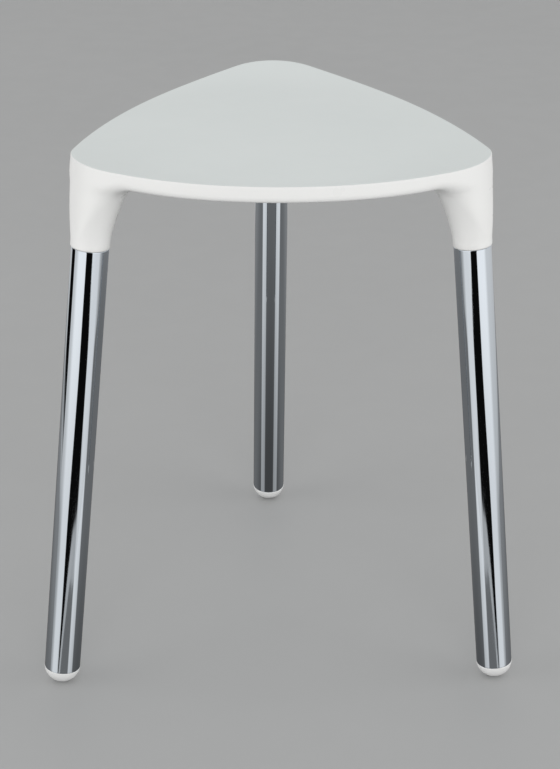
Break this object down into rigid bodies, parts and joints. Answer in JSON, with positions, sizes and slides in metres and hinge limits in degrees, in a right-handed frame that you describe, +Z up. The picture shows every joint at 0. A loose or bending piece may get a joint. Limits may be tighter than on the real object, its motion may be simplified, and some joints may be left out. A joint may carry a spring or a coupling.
{
  "type": "shower stool",
  "caption": "Low free-standing shower stool: rounded three-sided plastic seat on splayed chromed tube legs with domed feet.",
  "frame": {"origin": "on the floor, straight below the centre of the seat's three-fold axis", "axes": "+Z up; +Y towards the rear leg; +X to the right as seen from the front, with one leg each side"},
  "size_m": [0.3738, 0.3405, 0.4299],
  "materials": {
    "seat_plastic": "white, satin on the sides and finely grained on top",
    "cover_plastic": "white, matt",
    "screw_steel": "plain stainless",
    "insert_brass": "turned, grooved outside",
    "stud_steel": "zinc plated",
    "seal_rubber": "black, matt",
    "plug_aluminium": "turned",
    "tube_chrome": "polished chrome plate",
    "foot_rubber": "white, matt and slightly soft"
  },
  "bodies": {
    "root": {"seat_shell": "seat_plastic", "underside_cover": "cover_plastic", "cover_screws": "screw_steel", "seat_insert_front_left": "insert_brass", "seat_insert_front_right": "insert_brass", "seat_insert_rear": "insert_brass", "leg_stud_front_left": "stud_steel", "leg_stud_front_right": "stud_steel", "leg_stud_rear": "stud_steel", "leg_seal_front_left": "seal_rubber", "leg_seal_front_right": "seal_rubber", "leg_seal_rear": "seal_rubber", "leg_plug_front_left": "plug_aluminium", "leg_plug_front_right": "plug_aluminium", "leg_plug_rear": "plug_aluminium", "leg_tube_front_left": "tube_chrome", "leg_tube_front_right": "tube_chrome", "leg_tube_rear": "tube_chrome", "foot_cap_front_left": "foot_rubber", "foot_cap_front_right": "foot_rubber", "foot_cap_rear": "foot_rubber"}
  },
  "joints": []
}
